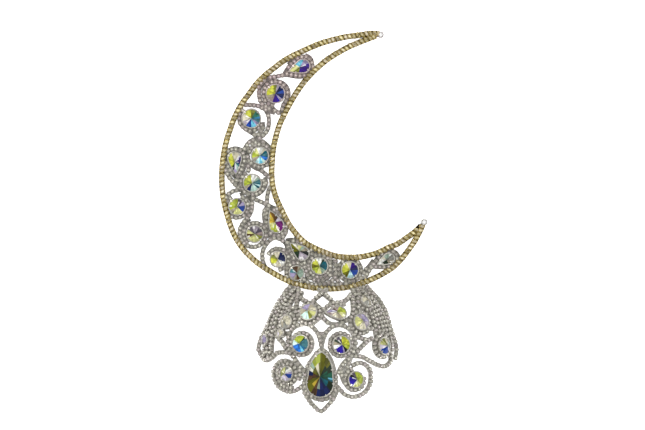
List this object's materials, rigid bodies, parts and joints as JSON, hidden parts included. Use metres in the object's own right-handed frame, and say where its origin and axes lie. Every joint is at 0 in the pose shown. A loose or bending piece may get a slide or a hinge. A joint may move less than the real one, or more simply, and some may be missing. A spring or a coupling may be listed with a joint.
{
  "type": "rhinestone headpiece",
  "caption": "Crescent moon of gold cup chain filled with silver chain scrolls and iridescent stones, above an open domed hood of the same scrolls with a large drop stone.",
  "frame": {"origin": "centre of the headpiece's outline at the surface that its back lies on", "axes": "+X to the wearer's left as seen from the front, +Y towards the moon's upper horn, +Z out of the front"},
  "size_m": [0.1046, 0.1914, 0.0281],
  "materials": {
    "gold_chain": "gold plated rhinestone cup chain",
    "silver_chain": "silver plated rhinestone cup chain and settings",
    "aurora_stone": "cut glass with an aurora coating"
  },
  "bodies": {
    "root": {"hood_drop_1": "aurora_stone", "hood_drop_7": "aurora_stone", "hood_round_10": "aurora_stone", "hood_round_11": "aurora_stone", "hood_round_12": "aurora_stone", "hood_round_13": "aurora_stone", "hood_round_2": "aurora_stone", "hood_round_3": "aurora_stone", "hood_round_4": "aurora_stone", "hood_round_5": "aurora_stone", "hood_round_6": "aurora_stone", "hood_round_8": "aurora_stone", "hood_round_9": "aurora_stone", "hood_scrolls": "silver_chain", "horn_cap_lower": "silver_chain", "horn_cap_upper": "silver_chain", "moon_drop_1": "aurora_stone", "moon_drop_11": "aurora_stone", "moon_drop_15": "aurora_stone", "moon_drop_5": "aurora_stone", "moon_drop_9": "aurora_stone", "moon_rim": "gold_chain", "moon_round_10": "aurora_stone", "moon_round_12": "aurora_stone", "moon_round_13": "aurora_stone", "moon_round_14": "aurora_stone", "moon_round_2": "aurora_stone", "moon_round_3": "aurora_stone", "moon_round_4": "aurora_stone", "moon_round_6": "aurora_stone", "moon_round_7": "aurora_stone", "moon_round_8": "aurora_stone", "moon_scrolls": "silver_chain"}
  },
  "joints": []
}
